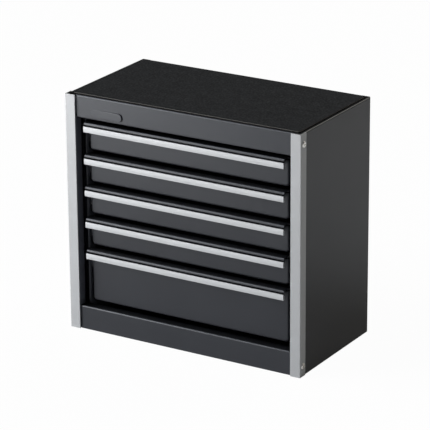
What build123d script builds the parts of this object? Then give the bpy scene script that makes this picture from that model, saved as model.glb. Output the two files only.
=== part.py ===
from build123d import *
import os

# Mini tool chest: a folded steel cabinet with silver corner trims, a rubber mat on top
# and five drawers on nested channel slides. Millimetres, +Z up, front towards -Y,
# origin at the middle of the footprint.

# Cabinet
cabinet_width = 324.0          # over the faces of the corner trims
cabinet_depth = 170.0          # face of the corner trims to the back seam
cabinet_sheet = 1.0
cabinet_bend = 0.8             # inside radius of the cabinet's folds
header_height = 28.5
kick_height = 30.0
panel_recess = 2.5             # header and kick plate behind the trim face
panel_end_gap = 0.8            # header and kick plate short of the jambs
jamb_depth = 11.5              # return of the side panel beside the drawers
back_seam = 12.0               # rear flange of the side panel
weld_flange = 9.0              # turned edges of the top and bottom panels
weld_flange_gap = 1.0          # ends of those edges short of the uprights
rim_width = 4.0                # folded rim around the mat
rim_round = 1.6                # outer fold of that rim, within its height

# Corner trims and their screws
trim_sheet = 1.0
trim_front_leg = 13.5
trim_side_leg = 12.5
trim_arris = 0.8
screw_inset = 13.0             # screw centre from the end of the trim
screw_setback = 6.2            # screw centre behind the trim face
screw_diameter = 3.9
screw_length = 9.5
screw_head_diameter = 7.5
screw_head_height = 1.4
screw_head_round = 1.1
screw_point = 1.2
recess_length = 4.2            # cross recess in the screw head
recess_width = 0.9
recess_depth = 0.9
screw_hole_clearance = 0.4
screw_grip_clearance = 0.1

# Top mat
mat_sheet = 3.0
mat_proud = 1.0                # mat above the rim
mat_gap = 1.0                  # groove between the mat and the rim
mat_corner = 3.0

# Uprights that carry the slides
upright_sheet = 1.0
upright_recess = 14.5          # front edge behind the trim face
rail_bearing_length = 8.0      # length of a fixed rail that sits on each upright
upright_flange = 12.0          # leg on the side panel or the back panel
upright_hem = 5.0              # doubled front edge
hem_round = 0.9                # rounding of that edge, within the sheet

# Drawers
shallow_drawers = 4
shallow_front_height = 37.5
deep_front_height = 69.5
drawer_gap = 3.0               # between one drawer front and the next
header_gap = 5.1
kick_gap = 4.9
front_recess = 14.6            # drawer faces behind the trim face
drawer_side_gap = 10.5         # jamb to the end of the drawer front
drawer_sheet = 0.8
front_return = 6.0             # folded edge around the face
front_corner = 4.5             # lower corners of the face
front_round = 2.5              # rolled edge of the face
hook_recess = 3.0              # hook flange behind the trim face
hook_bend = 1.4                # inside radius of the hook's folds
pull_drop = 4.9                # top of the pull strip below the top of the hook
pull_height = 7.1
pull_wall = 1.2                # front wall of the pull strip
pull_floor = 1.0
pull_clip = 0.8                # rear wall that grips the hook flange
pull_clip_height = 5.0
pull_crown = 0.3               # swell of the strip's face
pull_round = 0.4
tray_lift = 3.0                # tray floor above the lower edge of the face
tray_drop = 5.0                # tray rim below the top of the hook
tray_inset = 5.2               # side of the tray inside the end of the drawer front
tray_rear_gap = 4.0            # tray to the back panel
tray_hem = 4.0                 # doubled rim of the tray
tray_corner = 2.0
liner_sheet = 1.5
liner_gap = 0.6

# Slides
rail_sheet = 1.0
tray_rail_gap = 1.3            # fixed rail to the side of the tray
rail_height = 18.0
rail_depth = 8.0
rail_lip = 2.5
rail_drop = 20.0               # slide centre below the top of the hook
rail_front_gap = 0.8           # slides behind the folded edge of the face
rail_rear_gap = 5.0            # slides to the back panel
rail_clearance = 0.3
stop_clearance = 0.4
stop_reach = 3.0               # stop tab in the fixed rail
stop_height = 6.0
rail_overlap = 36.0            # fixed rail in front of the stop

# Places worked out from the sizes above
cabinet_height = (
    kick_height + kick_gap + deep_front_height
    + shallow_drawers * (drawer_gap + shallow_front_height)
    + header_gap + header_height
)
half_width = cabinet_width / 2
half_depth = cabinet_depth / 2
trim_face = -half_depth
side_face = half_width - trim_sheet
side_inside = side_face - cabinet_sheet
flange_face = trim_face + trim_sheet
jamb_face = half_width - trim_front_leg
panel_face = trim_face + panel_recess
panel_back = panel_face + cabinet_sheet
panel_half = jamb_face - panel_end_gap
back_face = half_depth - cabinet_sheet
back_inside = back_face - cabinet_sheet
cabinet_fold = cabinet_bend + cabinet_sheet
deck_top = cabinet_height + mat_proud - mat_sheet
rim_height = cabinet_height - deck_top
rim_fillet = min(rim_round, 0.9 * rim_height)
rim_back = panel_face + rim_width
rim_half = side_face - rim_width
deck_underside = deck_top - cabinet_sheet
upright_front = trim_face + upright_recess
front_half = jamb_face - drawer_side_gap
front_width = 2 * front_half
tray_half = front_half - tray_inset
rail_seat = tray_half + tray_rail_gap + rail_depth
drawer_face = trim_face + front_recess
drawer_back = drawer_face + drawer_sheet
hook_face = trim_face + hook_recess
tray_rear = back_inside - tray_rear_gap
rail_front = drawer_face + front_return + rail_front_gap
rail_rear = back_inside - rail_rear_gap
rail_length = rail_rear - rail_front
inner_rail_rear = rail_rear - rail_sheet - stop_clearance
stop_face = rail_front + rail_overlap
drawer_travel = inner_rail_rear - rail_sheet - stop_face - stop_clearance
screw_heights = [screw_inset, cabinet_height - screw_inset]
screw_row = trim_face + screw_setback

# Drawers from the top down, each with the top and the height of its front
drawer_rows = []
row_top = cabinet_height - header_height - header_gap
for row_height in [shallow_front_height] * shallow_drawers + [deep_front_height]:
    drawer_rows.append((row_top, row_height))
    row_top -= row_height + drawer_gap

os.makedirs("parts", exist_ok=True)


def folded_sheet(points, thickness, radius, side):
    # Section of a folded sheet: one face as a line with rounded folds, thickened to one side
    with BuildSketch() as section:
        with BuildLine():
            FilletPolyline(*points, radius=radius)
            offset(amount=thickness, side=side)
        make_face()
    return section.sketch


def finish(piece, name):
    piece.part.label = name
    export_step(piece.part, f"parts/{name}.step")


def finish_pair(right_piece, name):
    # The right piece as it stands and its mirror image on the left
    with BuildPart() as left_piece:
        mirror(right_piece.part, about=Plane.YZ)
    finish(right_piece, f"{name}_right")
    finish(left_piece, f"{name}_left")


# Side panels: wall, seam at the back, flange behind the corner trim and jamb return
with BuildPart() as side_panel:
    with BuildSketch(Plane.XY):
        add(folded_sheet(
            [
                (side_face - back_seam, half_depth),
                (side_face, half_depth),
                (side_face, flange_face),
                (jamb_face, flange_face),
                (jamb_face, flange_face + jamb_depth),
            ],
            cabinet_sheet, cabinet_fold, Side.RIGHT,
        ))
    extrude(amount=cabinet_height)
    # The jamb return stops at the bottom panel and at the deck
    jamb_notch_front = flange_face + cabinet_fold
    for notch_floor, notch_top in [(0, cabinet_sheet), (deck_underside, cabinet_height)]:
        with BuildSketch(Plane.XY.offset(notch_floor)):
            with Locations((jamb_face, jamb_notch_front)):
                Rectangle(cabinet_sheet, jamb_depth, align=(Align.MIN, Align.MIN))
        extrude(amount=notch_top - notch_floor, mode=Mode.SUBTRACT)
    # Folded rim along the top edge and across the corner behind the trim
    flange_back = flange_face + cabinet_sheet
    with BuildSketch(Plane.XY.offset(deck_top)):
        with Locations((rim_half, flange_back)):
            Rectangle(side_inside - rim_half, back_inside - flange_back, align=(Align.MIN, Align.MIN))
        with Locations((jamb_face, flange_back)):
            Rectangle(side_inside - jamb_face, rim_back - flange_back, align=(Align.MIN, Align.MIN))
    extrude(amount=rim_height)
    # Screw holes for the corner trim
    with BuildSketch(Plane.YZ.offset(side_inside)):
        with Locations(*[(screw_row, height) for height in screw_heights]):
            Circle((screw_diameter + screw_grip_clearance) / 2)
    extrude(amount=cabinet_sheet, mode=Mode.SUBTRACT)
    # Outer fold of the rim
    with BuildSketch(Plane.XZ.offset(-half_depth)):
        with Locations((side_face, cabinet_height)):
            Rectangle(rim_fillet, rim_fillet, align=(Align.MAX, Align.MAX))
        with Locations((side_face - rim_fillet, cabinet_height - rim_fillet)):
            Circle(rim_fillet, mode=Mode.SUBTRACT)
    extrude(amount=cabinet_depth, mode=Mode.SUBTRACT)
finish_pair(side_panel, "side_panel")

# Corner trims: silver angles over the front corners
with BuildPart() as corner_trim:
    with BuildSketch(Plane.XY):
        with BuildLine():
            Polyline(
                (jamb_face, trim_face),
                (half_width, trim_face),
                (half_width, trim_face + trim_side_leg),
                (side_face, trim_face + trim_side_leg),
                (side_face, flange_face),
                (jamb_face, flange_face),
                close=True,
            )
        make_face()
    extrude(amount=cabinet_height)
    with BuildSketch(Plane.YZ.offset(side_face)):
        with Locations(*[(screw_row, height) for height in screw_heights]):
            Circle((screw_diameter + screw_hole_clearance) / 2)
    extrude(amount=trim_sheet, mode=Mode.SUBTRACT)
    upright_edges = corner_trim.edges().filter_by(Axis.Z)
    fillet(upright_edges.group_by(Axis.X)[-1].sort_by(Axis.Y)[0], radius=trim_arris)
finish_pair(corner_trim, "corner_trim")

# Low pan head screws that hold the corner trims
with BuildPart() as screw:
    with BuildSketch(Plane.YZ.offset(half_width)):
        Circle(screw_head_diameter / 2)
    extrude(amount=screw_head_height)
    fillet(screw.faces().sort_by(Axis.X)[-1].edges(), radius=screw_head_round)
    with BuildSketch(Plane.YZ.offset(half_width + screw_head_height)):
        Rectangle(recess_length, recess_width)
        Rectangle(recess_width, recess_length)
    extrude(amount=-recess_depth, mode=Mode.SUBTRACT)
    with BuildSketch(Plane.YZ.offset(half_width)):
        Circle(screw_diameter / 2)
    extrude(amount=-screw_length)
    chamfer(screw.faces().sort_by(Axis.X)[0].edges(), length=screw_point)

with BuildPart() as trim_screws:
    with Locations(*[(0, screw_row, height) for height in screw_heights]):
        add(screw.part)
    mirror(about=Plane.YZ)
finish(trim_screws, "trim_screws")

# Back panel, lapped inside the seams of the side panels and clear of their folds
back_half = side_inside - cabinet_bend
with BuildPart() as back_panel:
    with BuildSketch(Plane.XY):
        with Locations((0, back_inside)):
            Rectangle(2 * back_half, cabinet_sheet, align=(Align.CENTER, Align.MIN))
    extrude(amount=cabinet_height)
finish(back_panel, "back_panel")

# Header rail above the drawers, with the rim along its top and a return over the first drawer
header_bottom = cabinet_height - header_height
with BuildPart() as header_rail:
    with BuildSketch(Plane.YZ.offset(-panel_half)):
        add(folded_sheet(
            [(upright_front, header_bottom), (panel_face, header_bottom), (panel_face, cabinet_height)],
            cabinet_sheet, cabinet_fold, Side.RIGHT,
        ))
        with Locations((panel_back, deck_top)):
            Rectangle(rim_back - panel_back, rim_height, align=(Align.MIN, Align.MIN))
    extrude(amount=2 * panel_half)
    top_edges = header_rail.edges().filter_by(Axis.X).group_by(Axis.Z)[-1]
    fillet(top_edges.sort_by(Axis.Y)[0], radius=rim_fillet)
finish(header_rail, "header_rail")

# Kick plate below the drawers, with a return under the last drawer
with BuildPart() as kick_plate:
    with BuildSketch(Plane.YZ.offset(-panel_half)):
        add(folded_sheet(
            [(panel_face, 0), (panel_face, kick_height), (upright_front, kick_height)],
            cabinet_sheet, cabinet_fold, Side.RIGHT,
        ))
    extrude(amount=2 * panel_half)
finish(kick_plate, "kick_plate")

# Top panel: the deck under the mat, with flanges on the header and on the back panel
flange_half = rail_seat - weld_flange_gap
with BuildPart() as top_panel:
    with BuildSketch(Plane.XY.offset(deck_underside)):
        with Locations((0, panel_back)):
            Rectangle(2 * side_inside, back_inside - panel_back, align=(Align.CENTER, Align.MIN))
    extrude(amount=cabinet_sheet)
    with BuildSketch(Plane.XY.offset(deck_underside)):
        with Locations((0, panel_back)):
            Rectangle(2 * flange_half, cabinet_sheet, align=(Align.CENTER, Align.MIN))
        with Locations((0, back_inside)):
            Rectangle(2 * flange_half, cabinet_sheet, align=(Align.CENTER, Align.MAX))
    extrude(amount=-weld_flange)
finish(top_panel, "top_panel")

# Bottom panel: the floor of the cabinet, with flanges on the kick plate and on the back panel
with BuildPart() as bottom_panel:
    with BuildSketch(Plane.XY):
        with Locations((0, panel_back)):
            Rectangle(2 * side_inside, back_inside - panel_back, align=(Align.CENTER, Align.MIN))
    extrude(amount=cabinet_sheet)
    with BuildSketch(Plane.XY.offset(cabinet_sheet)):
        with Locations((0, panel_back)):
            Rectangle(2 * flange_half, cabinet_sheet, align=(Align.CENTER, Align.MIN))
        with Locations((0, back_inside)):
            Rectangle(2 * flange_half, cabinet_sheet, align=(Align.CENTER, Align.MAX))
    extrude(amount=weld_flange)
finish(bottom_panel, "bottom_panel")

# Rubber mat on the deck
mat_half = rim_half - mat_gap
mat_front = rim_back + mat_gap
mat_rear = back_inside - mat_gap
with BuildPart() as top_mat:
    with BuildSketch(Plane.XY.offset(deck_top)):
        with Locations((0, mat_front)):
            mat_outline = Rectangle(2 * mat_half, mat_rear - mat_front, align=(Align.CENTER, Align.MIN))
        fillet(mat_outline.vertices(), radius=mat_corner)
    extrude(amount=mat_sheet)
finish(top_mat, "top_mat")

# Front uprights: bent from the side panel to the slides, with a doubled front edge
upright_height = deck_underside - cabinet_sheet
upright_fold = cabinet_bend + upright_sheet
upright_web = rail_front + rail_bearing_length
with BuildPart() as front_upright:
    with BuildSketch(Plane.XY.offset(cabinet_sheet)):
        add(folded_sheet(
            [
                (side_inside, upright_web + upright_flange),
                (side_inside, upright_web),
                (rail_seat + upright_sheet, upright_web),
                (rail_seat + upright_sheet, upright_front),
            ],
            upright_sheet, upright_fold, Side.RIGHT,
        ))
        with Locations((rail_seat + upright_sheet, upright_front)):
            Rectangle(upright_sheet, upright_hem, align=(Align.MIN, Align.MIN))
    extrude(amount=upright_height)
    hem_edges = front_upright.edges().filter_by(Axis.Z).group_by(Axis.Y)[0]
    fillet(hem_edges, radius=min(hem_round, 0.9 * upright_sheet))
finish_pair(front_upright, "front_upright")

# Rear uprights: angles on the back panel that hold the rear of the slides
with BuildPart() as rear_upright:
    with BuildSketch(Plane.XY.offset(cabinet_sheet)):
        add(folded_sheet(
            [
                (rail_seat + upright_flange, back_inside),
                (rail_seat, back_inside),
                (rail_seat, rail_rear - rail_bearing_length),
            ],
            upright_sheet, upright_fold, Side.LEFT,
        ))
    extrude(amount=upright_height)
finish_pair(rear_upright, "rear_upright")

# Drawers, numbered from the top
rail_half = rail_height / 2
neck_half = rail_half - rail_lip - rail_clearance
brim_half = rail_half - rail_sheet - rail_clearance
brim_face = rail_seat - rail_depth + rail_sheet + rail_clearance
hook_fold = hook_bend + drawer_sheet
hook_back = hook_face + drawer_sheet
for number, (front_top, front_height) in enumerate(drawer_rows, start=1):
    drawer = f"drawer_{number}"
    front_bottom = front_top - front_height
    pull_top = front_top - pull_drop
    pull_bottom = pull_top - pull_height
    hook_end = pull_bottom + pull_floor
    tray_floor = front_bottom + tray_lift
    tray_top = front_top - tray_drop
    rail_middle = front_top - rail_drop

    # Front: a face with rolled edges, and a hook folded forwards and down along its top
    face_top = front_top - hook_fold
    with BuildPart() as front:
        with BuildSketch(Plane.XZ.offset(-drawer_face - front_return)):
            with Locations((0, front_bottom)):
                face_outline = Rectangle(
                    front_width, face_top - front_bottom, align=(Align.CENTER, Align.MIN)
                )
            fillet(face_outline.vertices().group_by(Axis.Y)[0], radius=front_corner)
        extrude(amount=front_return)
        face_edges = front.faces().sort_by(Axis.Y)[0].edges()
        fillet(face_edges.sort_by(Axis.Z)[:-1], radius=front_round)
        open_sides = [front.faces().sort_by(Axis.Y)[-1], front.faces().sort_by(Axis.Z)[-1]]
        offset(amount=-drawer_sheet, openings=open_sides)
        with BuildSketch(Plane.YZ.offset(-front_half)):
            add(folded_sheet(
                [
                    (hook_face, hook_end),
                    (hook_face, front_top),
                    (drawer_back, front_top),
                    (drawer_back, face_top - hook_fold),
                ],
                drawer_sheet, hook_fold, Side.RIGHT,
            ))
        extrude(amount=front_width)
    finish(front, f"{drawer}_front")

    # Pull strip: silver channel pushed onto the lower edge of the hook, with a crowned face
    with BuildPart() as pull_strip:
        with BuildSketch(Plane.YZ.offset(-front_half)):
            strip_face = hook_face - pull_wall
            clip_back = hook_back + pull_clip
            with BuildLine():
                Polyline(
                    (strip_face, pull_top),
                    (hook_face, pull_top),
                    (hook_face, hook_end),
                    (hook_back, hook_end),
                    (hook_back, pull_bottom + pull_clip_height),
                    (clip_back, pull_bottom + pull_clip_height),
                    (clip_back, pull_bottom),
                    (strip_face, pull_bottom),
                )
                ThreePointArc(
                    (strip_face, pull_bottom),
                    (strip_face - pull_crown, (pull_bottom + pull_top) / 2),
                    (strip_face, pull_top),
                )
            strip_section = make_face()
            front_corners = strip_section.vertices().group_by(Axis.X)[0].sort_by(Axis.Y)
            fillet([front_corners[0], front_corners[-1]], radius=pull_round)
        extrude(amount=front_width)
    finish(pull_strip, f"{drawer}_pull_strip")

    # Tray: an open box with a doubled rim
    tray_length = tray_rear - drawer_back
    with BuildPart() as tray:
        with BuildSketch(Plane.XY.offset(tray_floor)):
            with Locations((0, drawer_back)):
                tray_outline = Rectangle(2 * tray_half, tray_length, align=(Align.CENTER, Align.MIN))
            fillet(tray_outline.vertices(), radius=tray_corner)
        extrude(amount=tray_top - tray_floor)
        offset(amount=-drawer_sheet, openings=tray.faces().sort_by(Axis.Z)[-1])
        with BuildSketch(Plane.XY.offset(tray_top)):
            with Locations((0, drawer_back)):
                rim_outline = Rectangle(2 * tray_half, tray_length, align=(Align.CENTER, Align.MIN))
            fillet(rim_outline.vertices(), radius=tray_corner)
            offset(amount=-2 * drawer_sheet, mode=Mode.SUBTRACT)
        extrude(amount=-tray_hem)
    finish(tray, f"{drawer}_tray")

    # Liner on the tray floor
    liner_inset = drawer_sheet + liner_gap
    with BuildPart() as liner:
        with BuildSketch(Plane.XY.offset(tray_floor + drawer_sheet)):
            with Locations((0, drawer_back + liner_inset)):
                liner_outline = Rectangle(
                    2 * (tray_half - liner_inset), tray_length - 2 * liner_inset,
                    align=(Align.CENTER, Align.MIN),
                )
            fillet(liner_outline.vertices(), radius=tray_corner)
        extrude(amount=liner_sheet)
    finish(liner, f"{drawer}_liner")

    # Fixed rail on the uprights: a lipped channel, closed at the rear, with a stop tab inside
    with BuildPart() as fixed_rail:
        with BuildSketch(Plane.XZ.offset(-rail_rear)):
            with Locations((rail_seat, rail_middle)):
                Rectangle(rail_depth, rail_height, align=(Align.MAX, Align.CENTER))
            with Locations((rail_seat - rail_sheet, rail_middle)):
                Rectangle(
                    rail_depth - 2 * rail_sheet, rail_height - 2 * rail_sheet,
                    align=(Align.MAX, Align.CENTER), mode=Mode.SUBTRACT,
                )
            with Locations((rail_seat - rail_depth, rail_middle)):
                Rectangle(
                    rail_sheet, rail_height - 2 * rail_lip,
                    align=(Align.MIN, Align.CENTER), mode=Mode.SUBTRACT,
                )
        extrude(amount=rail_length)
        with BuildSketch(Plane.XZ.offset(-rail_rear)):
            with Locations((rail_seat, rail_middle)):
                Rectangle(rail_depth, rail_height, align=(Align.MAX, Align.CENTER))
        extrude(amount=rail_sheet)
        with BuildSketch(Plane.XZ.offset(-stop_face)):
            with Locations((rail_seat - rail_sheet, rail_middle)):
                Rectangle(stop_reach, stop_height, align=(Align.MAX, Align.CENTER))
        extrude(amount=rail_sheet)
    finish_pair(fixed_rail, f"{drawer}_fixed_rail")

    # Sliding rail on the tray: a hat section behind the lips, with an end tab that meets the stop
    with BuildPart() as sliding_rail:
        with BuildSketch(Plane.XZ.offset(-inner_rail_rear)):
            with Locations((tray_half, rail_middle)):
                Rectangle(
                    brim_face + rail_sheet - tray_half, 2 * neck_half, align=(Align.MIN, Align.CENTER)
                )
            with Locations((brim_face, rail_middle)):
                Rectangle(rail_sheet, 2 * brim_half, align=(Align.MIN, Align.CENTER))
            with Locations((tray_half + rail_sheet, rail_middle)):
                Rectangle(
                    brim_face - tray_half, 2 * (neck_half - rail_sheet),
                    align=(Align.MIN, Align.CENTER), mode=Mode.SUBTRACT,
                )
        extrude(amount=inner_rail_rear - rail_front)
        with BuildSketch(Plane.XZ.offset(-inner_rail_rear)):
            with Locations((tray_half, rail_middle)):
                Rectangle(
                    rail_seat - rail_sheet - rail_clearance - tray_half, 2 * neck_half,
                    align=(Align.MIN, Align.CENTER),
                )
        extrude(amount=rail_sheet)
    finish_pair(sliding_rail, f"{drawer}_sliding_rail")

print(f"cabinet height {cabinet_height:.1f}, rail seat {rail_seat:.1f}, travel {drawer_travel:.1f}")
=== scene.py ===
import math
import bpy
import bmesh
from mathutils import Matrix, Vector


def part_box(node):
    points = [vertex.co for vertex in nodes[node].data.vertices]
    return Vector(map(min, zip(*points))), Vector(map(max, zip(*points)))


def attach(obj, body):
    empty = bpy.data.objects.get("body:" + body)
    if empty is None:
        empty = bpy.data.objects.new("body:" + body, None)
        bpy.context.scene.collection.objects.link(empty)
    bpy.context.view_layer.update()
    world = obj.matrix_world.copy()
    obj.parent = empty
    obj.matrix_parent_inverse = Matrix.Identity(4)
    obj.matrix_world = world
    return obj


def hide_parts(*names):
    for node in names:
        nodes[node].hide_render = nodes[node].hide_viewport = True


# lengths in metres, angles in degrees, colours linear
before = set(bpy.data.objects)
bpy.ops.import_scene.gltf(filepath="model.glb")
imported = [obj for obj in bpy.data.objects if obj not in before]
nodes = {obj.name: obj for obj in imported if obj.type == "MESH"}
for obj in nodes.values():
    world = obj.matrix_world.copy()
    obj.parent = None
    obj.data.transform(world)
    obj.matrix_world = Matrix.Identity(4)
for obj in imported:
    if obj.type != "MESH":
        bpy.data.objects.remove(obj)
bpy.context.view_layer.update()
scene = bpy.context.scene
print("frame loaded,", len(nodes), "nodes")


# shader maths: a wire wraps one socket, and an expression on wires adds its nodes
class Wire:
    def __init__(self, tree, socket=None):
        self.tree = tree
        self.socket = socket

    def node(self, kind, settings=None, feeds=None, out=0):  # any node: type, settings, then sockets
        made = self.tree.nodes.new("ShaderNode" + kind)
        for key, value in (settings or {}).items():
            setattr(made, key, value)
        for key, value in (feeds or {}).items():
            feed(self.tree, made.inputs[key], value)
        return Wire(self.tree, made.outputs[out])

    def math(self, operation, first, second):
        return self.node("Math", {"operation": operation}, {0: first, 1: second})

    def __add__(self, other):
        return self.math("ADD", self, other)

    def __radd__(self, other):
        return self.math("ADD", other, self)

    def __sub__(self, other):
        return self.math("SUBTRACT", self, other)

    def __rsub__(self, other):
        return self.math("SUBTRACT", other, self)

    def __mul__(self, other):
        return self.math("MULTIPLY", self, other)

    def __rmul__(self, other):
        return self.math("MULTIPLY", other, self)

    def __gt__(self, other):
        return self.math("GREATER_THAN", self, other)

    def __lt__(self, other):
        return self.math("LESS_THAN", self, other)

    def part(self, axis):  # one of the three numbers of a coordinate or a normal
        return self.node("SeparateXYZ", None, {"Vector": self}, axis)

    def stretched(self, scale):  # a coordinate times three factors
        return self.node("VectorMath", {"operation": "MULTIPLY"}, {0: self, 1: scale})

    def noise(self, scale=1.0, detail=2.0, roughness=0.5):
        return self.node("TexNoise", None, {
            "Vector": self, "Scale": scale, "Detail": detail, "Roughness": roughness})

    def cells(self, scale, out="Distance"):
        return self.node("TexVoronoi", None, {"Vector": self, "Scale": scale}, out)

    def patches(self, size):  # one random tone for each cell
        tones = self.cells(1 / size, "Color")
        return tones.node("SeparateColor", None, {"Color": tones})

    def band(self, low, high):  # 0 below low, 1 above high, smooth between
        return self.node("MapRange", {"interpolation_type": "SMOOTHSTEP"}, {
            "Value": self, "From Min": low, "From Max": high})

    def swing(self, width):  # noise around 0, for a roughness that varies
        return (self - 0.5) * width

    def blend(self, first, second):  # this wire mixes two colours, in the Mix node's colour sockets
        return self.node("Mix", {"data_type": "RGBA"}, {0: self, 6: first, 7: second}, 2)

    def rays(self):  # 1 for a camera ray, a glossy ray and a transmitted ray
        kinds = ("Is Camera Ray", "Is Glossy Ray", "Is Transmission Ray")
        return [self.node("LightPath", out=kind) for kind in kinds]


def feed(tree, socket, value):
    if isinstance(value, Wire):
        tree.links.new(value.socket, socket)
    else:
        socket.default_value = value


def dress(shader, feeds):
    for key, value in feeds.items():
        feed(shader.id_data, shader.inputs[key], value)


def newFinish(name):
    material = bpy.data.materials.new(name)
    material.use_nodes = True
    tree = material.node_tree
    spot = Wire(tree).node("TexCoord", out="Object")
    return material, tree.nodes["Principled BSDF"], spot


def shade(grey, tint=(1.0, 1.0, 1.0)):
    return (grey * tint[0], grey * tint[1], grey * tint[2], 1.0)


def toned(level, look):  # from the darker to the lighter tone of a finish
    return level.blend(shade(look["grey"] * look["darker"], look["tint"]),
                       shade(look["grey"] * look["lighter"], look["tint"]))


def relief(spot, height, look):  # surface bumps, over softened sheet edges where a finish has them
    feeds = {"Height": height, "Distance": look["reliefDepth"], "Strength": look["reliefStrength"]}
    if "edge" in look:
        feeds["Normal"] = spot.node("Bevel", {"samples": 6}, {"Radius": look["edge"]})
    return spot.node("Bump", None, feeds)


# powder coat on the cabinet and the drawers
cabinetCoat = {
    "grey": 0.018, "tint": (0.90, 0.97, 1.18), "darker": 0.86, "lighter": 1.14,
    "sheen": (0.91, 0.95, 1.0), "gloss": 0.55, "rough": 0.34, "edge": 0.0004,
    "peelSize": 0.0014, "peelRelief": 0.75, "reliefDepth": 0.00004, "reliefStrength": 0.35,
    "grainsPerPeel": 5, "grainRelief": 0.25, "grainRough": 0.06,
    "cloudScale": 18.0, "cloudRough": 0.10,
    "fleck": {"scale": 700.0, "reach": 0.055, "patchScale": 90.0, "patchFrom": 0.56,
              "share": 0.5, "paler": 2.4},
    "paintedJambLight": {"grey": 0.078, "from": 0.125, "to": 0.14},  # painted light: jamb walls painted paler, as if lit, by how far out they stand
    "top": {"grey": 0.006, "from": 0.75, "to": 0.97},  # painted shade: upper faces painted darker, by how far up they look
    "seam": None,
}
drawerCoat = {
    **cabinetCoat,
    "grey": 0.017, "tint": (0.90, 0.97, 1.19), "darker": 0.88, "lighter": 1.12, "peelSize": 0.0013,
    "paintedJambLight": {**cabinetCoat["paintedJambLight"], "grey": 0.017},
    # painted shadow: a black line above each pull strip
    "seam": {"firstTop": 0.2664, "pitch": 0.0405, "drawers": 5,
             "from": 0.0028, "to": 0.0050, "soft": 0.0004, "grey": 0.003},
}


def powderCoat(name, look):
    material, shader, spot = newFinish(name)
    peel = spot.noise(1 / look["peelSize"])
    grain = spot.noise(look["grainsPerPeel"] / look["peelSize"], detail=1.0)
    cloud = spot.noise(look["cloudScale"], detail=3.0)
    facing = spot.node("NewGeometry", out="Normal")
    fleck, paintedJambLight, top, seam = look["fleck"], look["paintedJambLight"], look["top"], look["seam"]

    specks = spot.cells(fleck["scale"]) < fleck["reach"]  # a few paler specks, in patches
    specks = specks * (spot.noise(fleck["patchScale"]) > fleck["patchFrom"]) * fleck["share"]
    colour = specks.blend(toned(cloud, look), shade(look["grey"] * fleck["paler"], look["tint"]))
    # painted light: faces that look in from the sides of the opening are painted paler, as if lit by a fill
    jambLightShare = (0 - facing.part("X") * spot.part("X")).band(paintedJambLight["from"], paintedJambLight["to"])
    colour = jambLightShare.blend(colour, shade(paintedJambLight["grey"], look["tint"]))
    # painted shade: faces that look up are painted darker than the rest
    topShadeShare = facing.part("Z").band(top["from"], top["to"])
    colour = topShadeShare.blend(colour, shade(top["grey"], look["tint"]))
    if seam:  # painted shadow: a dead black line on the hook of each drawer, where the pull strip grips it
        depth = seam["firstTop"] - spot.part("Z")
        fall = spot.math("FLOORED_MODULO", depth, seam["pitch"])  # depth under the hook of its drawer
        seamShadowShare = fall.band(seam["from"], seam["from"] + seam["soft"]) * (fall < seam["to"])
        seamShadowShare = seamShadowShare * (depth < seam["pitch"] * (seam["drawers"] - 0.5))  # none low on the last face
        colour = seamShadowShare.blend(colour, shade(seam["grey"]))
        # metallic with its black colour, so the painted shadow line reflects almost nothing
        dress(shader, {"Metallic": seamShadowShare})
    dress(shader, {
        "Base Color": colour,
        "Roughness": look["rough"] + cloud.swing(look["cloudRough"]) + grain.swing(look["grainRough"]),
        "Specular Tint": shade(1.0, look["sheen"]),
        "Specular IOR Level": look["gloss"],
        "Normal": relief(spot, peel * look["peelRelief"] + grain * look["grainRelief"], look),
    })
    return material


# satin silver on the corner trims
trimSilver = {
    "grey": 0.41, "tint": (0.97, 1.0, 1.02), "darker": 0.90, "lighter": 1.10,
    "metal": 0.30, "rough": 0.52, "edge": 0.0004, "reliefDepth": 0.00001, "reliefStrength": 0.4,
    "flakeSize": 0.00035, "flakeShare": 0.35, "flakeRelief": 0.4,
    "drawScale": (900.0, 900.0, 9.0), "drawShare": 0.35, "drawRelief": 0.6, "drawRough": 0.12,
    "cloudScale": 14.0, "cloudShare": 0.30,
}


def satinSilver(name, look):
    material, shader, spot = newFinish(name)
    flake = spot.patches(look["flakeSize"])
    draw = spot.stretched(look["drawScale"]).noise(detail=3.0)  # long marks up the trim
    cloud = spot.noise(look["cloudScale"])
    level = look["flakeShare"] * flake + look["drawShare"] * draw + look["cloudShare"] * cloud
    dress(shader, {
        "Base Color": toned(level, look),
        "Metallic": look["metal"],
        "Roughness": look["rough"] + draw.swing(look["drawRough"]),
        "Normal": relief(spot, draw * look["drawRelief"] + flake * look["flakeRelief"], look),
    })
    return material


# brushed aluminium on the pull strips
pullMetal = {
    "grey": 0.50, "tint": (0.97, 1.0, 1.02), "darker": 0.88, "lighter": 1.10,
    "metal": 0.30, "rough": 0.52, "edge": 0.0003, "reliefDepth": 0.00001, "reliefStrength": 0.5,
    "brushScale": (7.0, 1900.0, 1900.0), "brushShare": 0.7, "brushRough": 0.16,
    "cloudScale": 22.0, "cloudShare": 0.3,
}


def brushedStrip(name, look):
    material, shader, spot = newFinish(name)
    brush = spot.stretched(look["brushScale"]).noise(detail=4.0, roughness=0.6)  # marks along the strip
    cloud = spot.noise(look["cloudScale"])
    dress(shader, {
        "Base Color": toned(look["brushShare"] * brush + look["cloudShare"] * cloud, look),
        "Metallic": look["metal"],
        "Roughness": look["rough"] + brush.swing(look["brushRough"]),
        "Normal": relief(spot, brush, look),
    })
    return material


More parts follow.
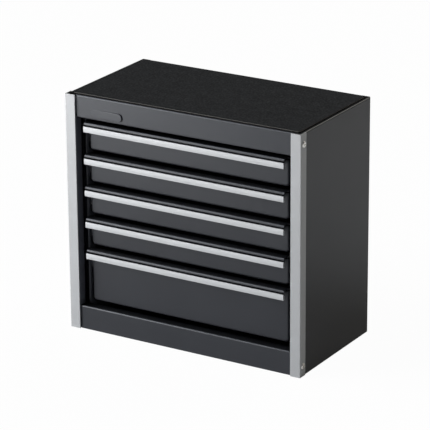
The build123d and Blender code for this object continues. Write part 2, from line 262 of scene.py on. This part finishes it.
# grained black rubber; its cut edge is paler, partly the cut rubber and partly a painted highlight, with
# painted shade at its foot
matRubber = {
    "grey": 0.0295, "tint": (0.97, 1.0, 1.03), "darker": 0.10, "lighter": 2.05,
    "gloss": 0.02, "rough": 0.8, "reliefDepth": 0.00018, "reliefStrength": 0.6,
    "grainSize": 0.0024, "grainShare": 0.50, "grainRelief": 0.6,
    "fineScale": 3200.0, "fineShare": 0.20, "fineRelief": 0.4, "fineRough": 0.2,
    "cloudScale": 70.0, "cloudShare": 0.30,
    "paleCutAndHighlight": {"grey": 0.20, "tint": (1.05, 1.0, 0.93), "darker": 0.8, "lighter": 1.2,
            "from": 0.25, "to": 0.75},  # side faces, partly the paler cut rubber and partly a painted highlight, by how far up a face looks
    "paintedFootShade": {"grey": 0.002, "from": 0.0005, "to": 0.0008},  # painted shade at the foot of the cut edge, by the depth under the mat's top
}


def grainedRubber(name, look):
    material, shader, spot = newFinish(name)
    grain = spot.cells(1 / look["grainSize"])
    fine = spot.noise(look["fineScale"])
    cloud = spot.noise(look["cloudScale"], detail=3.0)
    facing = spot.node("NewGeometry", out="Normal")
    paleCutAndHighlight, paintedFootShade = look["paleCutAndHighlight"], look["paintedFootShade"]
    level = look["grainShare"] * grain + look["fineShare"] * fine + look["cloudShare"] * cloud
    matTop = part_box("top_mat")[1][2]
    # painted shade: the foot of the mat's cut edge is painted near black
    footShadeShare = (matTop - spot.part("Z")).band(paintedFootShade["from"], paintedFootShade["to"])
    edgeHighlightAndShade = footShadeShare.blend(toned(fine, paleCutAndHighlight), shade(paintedFootShade["grey"]))
    # side faces of the mat get the paler cut colour, partly the cut rubber and partly a painted highlight
    cutAndHighlightShare = 1 - facing.part("Z").band(paleCutAndHighlight["from"], paleCutAndHighlight["to"])
    dress(shader, {
        "Base Color": cutAndHighlightShare.blend(toned(level, look), edgeHighlightAndShade),
        "Roughness": look["rough"] + fine.swing(look["fineRough"]),
        "Specular IOR Level": look["gloss"],
        "Normal": relief(spot, grain * look["grainRelief"] + fine * look["fineRelief"], look),
    })
    return material


# soft foam in the drawers
linerFoam = {
    "grey": 0.032, "tint": (1.0, 1.0, 1.02), "darker": 0.6, "lighter": 1.4,
    "gloss": 0.2, "rough": 0.88, "reliefDepth": 0.0002, "reliefStrength": 0.5,
    "poreSize": 0.0009, "poreShare": 0.6, "cloudScale": 30.0, "cloudShare": 0.4, "cloudRough": 0.1,
}


def closedFoam(name, look):
    material, shader, spot = newFinish(name)
    pore = spot.cells(1 / look["poreSize"])
    cloud = spot.noise(look["cloudScale"], detail=3.0)
    dress(shader, {
        "Base Color": toned(look["poreShare"] * pore + look["cloudShare"] * cloud, look),
        "Roughness": look["rough"] + cloud.swing(look["cloudRough"]),
        "Specular IOR Level": look["gloss"],
        "Normal": relief(spot, pore, look),
    })
    return material


# zinc on the slides and the screws
railZinc = {
    "grey": 0.52, "tint": (0.98, 1.0, 1.02), "darker": 0.86, "lighter": 1.12,
    "metal": 1.0, "rough": 0.34, "edge": 0.0003, "reliefDepth": 0.00001, "reliefStrength": 0.4,
    "spangleSize": 0.005, "spangleShare": 0.5, "spangleRough": 0.06,
    "scuffScale": (1500.0, 30.0, 1500.0), "scuffShare": 0.5, "scuffRough": 0.14,
}
screwZinc = {
    **railZinc,
    "grey": 0.88, "tint": (1.0, 0.995, 0.97), "rough": 0.13, "edge": 0.0001, "spangleSize": 0.0012,
}


def zincPlate(name, look):
    material, shader, spot = newFinish(name)
    spangle = spot.patches(look["spangleSize"])
    scuff = spot.stretched(look["scuffScale"]).noise(detail=3.0)  # rubbed along the travel
    dress(shader, {
        "Base Color": toned(look["spangleShare"] * spangle + look["scuffShare"] * scuff, look),
        "Metallic": look["metal"],
        "Roughness": look["rough"] + scuff.swing(look["scuffRough"]) + spangle.swing(look["spangleRough"]),
        "Normal": relief(spot, scuff, look),
    })
    return material


finishes = {
    "cabinet_paint": powderCoat("charcoalCabinetCoat", cabinetCoat),
    "drawer_paint": powderCoat("charcoalDrawerCoat", drawerCoat),
    "corner_silver": satinSilver("satinTrimSilver", trimSilver),
    "pull_aluminium": brushedStrip("brushedPullStrip", pullMetal),
    "mat_rubber": grainedRubber("grainedMatRubber", matRubber),
    "liner_foam": closedFoam("closedLinerFoam", linerFoam),
    "rail_steel": zincPlate("railZincPlate", railZinc),
    "screw_zinc": zincPlate("screwZincPlate", screwZinc),
}

# the finish of each node of the frame, by what its name ends with
nodeFinish = [
    ("_pull_strip", "pull_aluminium"), ("_liner", "liner_foam"), ("_front", "drawer_paint"),
    ("_tray", "drawer_paint"), ("rail_left", "rail_steel"), ("rail_right", "rail_steel"),
    ("trim_left", "corner_silver"), ("trim_right", "corner_silver"),
    ("trim_screws", "screw_zinc"), ("top_mat", "mat_rubber"), ("", "cabinet_paint"),
]
for name, node in nodes.items():
    slotName = next(slot for ending, slot in nodeFinish if name.endswith(ending))
    for slot in node.material_slots:
        slot.material = finishes[slotName]
print("finishes set:", len(finishes))


# mesh helpers
def newObject(name, mesh):
    mesh.normal_update()
    data = bpy.data.meshes.new(name)
    mesh.to_mesh(data)
    mesh.free()
    made = bpy.data.objects.new(name, data)
    scene.collection.objects.link(made)
    return made


def newPiece(name, mesh, body, slotName, stoodFor=()):
    piece = newObject(name, mesh)
    piece.data.materials.append(finishes[slotName])
    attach(piece, body)
    if stoodFor:
        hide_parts(*stoodFor)


def roundedOutline(low, high, shape):  # points of a rectangle with round corners, anticlockwise
    radius, steps = shape["corner"], shape["cornerSteps"]
    right, left = high[0] - radius, low[0] + radius
    upper, lower = high[1] - radius, low[1] + radius
    points = []
    for x, y, start in [(right, lower, -90), (right, upper, 0), (left, upper, 90), (left, lower, 180)]:
        for step in range(steps + 1):
            angle = math.radians(start + 90 * step / steps)
            points.append((x + radius * math.cos(angle), y + radius * math.sin(angle)))
    return points


flatFacing = 0.98  # faces turned at least this far along the lift stay flat


def raisedSlab(outline, lift, shape):  # flat sheet on an outline, its far edge rounded
    mesh = bmesh.new()
    base = mesh.faces.new([mesh.verts.new(point) for point in outline])
    lifted = bmesh.ops.extrude_face_region(mesh, geom=[base])
    topFace = [item for item in lifted["geom"] if isinstance(item, bmesh.types.BMFace)][0]
    bmesh.ops.translate(mesh, verts=topFace.verts, vec=lift)
    bmesh.ops.recalc_face_normals(mesh, faces=mesh.faces)
    bmesh.ops.bevel(mesh, geom=list(topFace.edges), offset=shape["edge"], segments=shape["edgeSteps"],
                    profile=0.5, affect="EDGES")
    along = Vector(lift).normalized()
    for face in mesh.faces:
        face.smooth = abs(face.normal.dot(along)) < flatFacing
    return mesh


# rubber mat: cut sheet with a softened upper edge
matShape = {"corner": 0.003, "cornerSteps": 8, "edge": 0.0005, "edgeSteps": 3}
low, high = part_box("top_mat")
outline = [(x, y, low[2]) for x, y in roundedOutline(low, high, matShape)]
mesh = raisedSlab(outline, (0, 0, high[2] - low[2]), matShape)
newPiece("rubberMat", mesh, "cabinet", "mat_rubber", ["top_mat"])
print("rubber mat made")

# raised plate on the header, left bare, its corners in x and z
plateShape = {
    "low": (-0.1257, 0.2751), "high": (-0.0827, 0.2849), "corner": 0.0042, "cornerSteps": 12,
    "sunk": 0.0003, "proud": 0.0017, "thinEnd": 0.04, "edge": 0.0005, "edgeSteps": 4,
}
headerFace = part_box("header_rail")[0][1]
low, high = plateShape["low"], plateShape["high"]
outline = [(x, headerFace + plateShape["sunk"], z) for x, z in roundedOutline(low, high, plateShape)]
mesh = raisedSlab(outline, (0, -plateShape["sunk"] - plateShape["proud"], 0), plateShape)
for vert in mesh.verts:  # thin at its left end, full height at its right end
    along = (vert.co.x - low[0]) / (high[0] - low[0])
    share = plateShape["thinEnd"] + (1 - plateShape["thinEnd"]) * along
    if vert.co.y < headerFace:
        vert.co.y = headerFace + (vert.co.y - headerFace) * share
newPiece("headerPlate", mesh, "cabinet", "cabinet_paint")
print("header plate made")

# camera at the viewing angle, no depth of field
viewpoint = {
    "place": (1.58138, -2.60489, 1.23928), "azimuth": 31.342, "elevation": 19.698, "roll": -0.40,
    "lens": 223.94, "sensor": 36.0,
}
azimuth = math.radians(viewpoint["azimuth"])
elevation = math.radians(viewpoint["elevation"])
back = Vector((math.sin(azimuth) * math.cos(elevation), -math.cos(azimuth) * math.cos(elevation),
               math.sin(elevation)))
right = Vector((math.cos(azimuth), math.sin(azimuth), 0))
turn = Matrix((right, back.cross(right), back)).transposed()
turn = turn @ Matrix.Rotation(math.radians(viewpoint["roll"]), 3, "Z")
cameraData = bpy.data.cameras.new("chestCamera")
cameraData.lens = viewpoint["lens"]
cameraData.sensor_width = viewpoint["sensor"]
camera = bpy.data.objects.new("chestCamera", cameraData)
camera.matrix_world = Matrix.Translation(viewpoint["place"]) @ turn.to_4x4()
scene.collection.objects.link(camera)
scene.camera = camera

# pale floor, white to the camera with the shadow kept; reflections show it mostly as it is lit
floorLook = {"size": 14.0, "pale": 0.85, "rough": 0.9, "seenWhite": 0.97, "mirroredWhite": 0.03}
floorMesh = bmesh.new()
bmesh.ops.create_grid(floorMesh, x_segments=1, y_segments=1, size=floorLook["size"] / 2)
floor = newObject("paleFloor", floorMesh)
floorPaint, floorShader, floorSpot = newFinish("paleFloorPaint")
floorTree = floorPaint.node_tree
dress(floorShader, {
    "Base Color": shade(floorLook["pale"]), "Roughness": floorLook["rough"], "Specular IOR Level": 0.0})
seen, glossy, through = floorSpot.rays()
whiteShare = (seen + through) * floorLook["seenWhite"] + glossy * floorLook["mirroredWhite"]
paint = Wire(floorTree, floorShader.outputs["BSDF"])
glow = floorSpot.node("Emission", None, {"Color": shade(1.0), "Strength": 1.0})
floorMix = floorSpot.node("MixShader", None, {0: whiteShare, 1: paint, 2: glow})
dress(floorTree.nodes["Material Output"], {"Surface": floorMix})
floor.data.materials.append(floorPaint)

# soft studio light: a white room that gives little light, and four soft boxes
roomLight = {
    "white": 1.0, "ambient": 0.01, "frontGloss": 0.1, "rearGloss": 0.01, "rearFrom": -0.2, "rearTo": 0.6,
}
world = bpy.data.worlds.new("whiteRoom")
world.use_nodes = True
scene.world = world
room = Wire(world.node_tree)
seen, glossy, through = room.rays()
rearward = room.node("TexCoord", out="Generated").part("Y").band(roomLight["rearFrom"], roomLight["rearTo"])
mirrored = roomLight["frontGloss"] + rearward * (roomLight["rearGloss"] - roomLight["frontGloss"])
strength = ((seen + through) * roomLight["white"] + glossy * mirrored
            + (1 - seen - through - glossy) * roomLight["ambient"])
dress(world.node_tree.nodes["Background"], {"Color": shade(1.0), "Strength": strength})

softBoxes = {
    "keyBox": {"place": (-1.03, -1.08, 0.30), "aim": (-0.05, -0.05, 0.18), "size": (0.8, 0.55),
               "watts": 13.3, "colour": (1.0, 0.98, 0.97)},
    "highBox": {"place": (-4.00, -2.40, 3.40), "aim": (0.0, 0.0, 0.1), "size": (4.0, 4.0),
                "watts": 300.0, "colour": (0.93, 0.95, 1.0)},
    "rearBox": {"place": (0.65, 2.30, 2.00), "aim": (0.4, 0.7, 0.0), "size": (2.0, 2.0),
                "watts": 26.5, "colour": (1.0, 0.955, 0.86)},
    "fillBox": {"place": (2.40, -1.60, 0.90), "aim": (0.0, 0.0, 0.15), "size": (1.0, 1.0),
                "watts": 6.4, "colour": (1.0, 0.98, 0.94)},
}
for name, look in softBoxes.items():
    lampData = bpy.data.lights.new(name, "AREA")
    lampData.shape = "RECTANGLE"
    lampData.size, lampData.size_y = look["size"]
    lampData.energy = look["watts"]
    lampData.color = look["colour"]
    lamp = bpy.data.objects.new(name, lampData)
    towards = Vector(look["aim"]) - Vector(look["place"])
    lamp.rotation_mode = "QUATERNION"
    lamp.rotation_quaternion = towards.to_track_quat("-Z", "Y")
    lamp.location = look["place"]
    scene.collection.objects.link(lamp)
print("stage, light and camera set")

scene.view_settings.view_transform = "Standard"
bpy.context.view_layer.update()
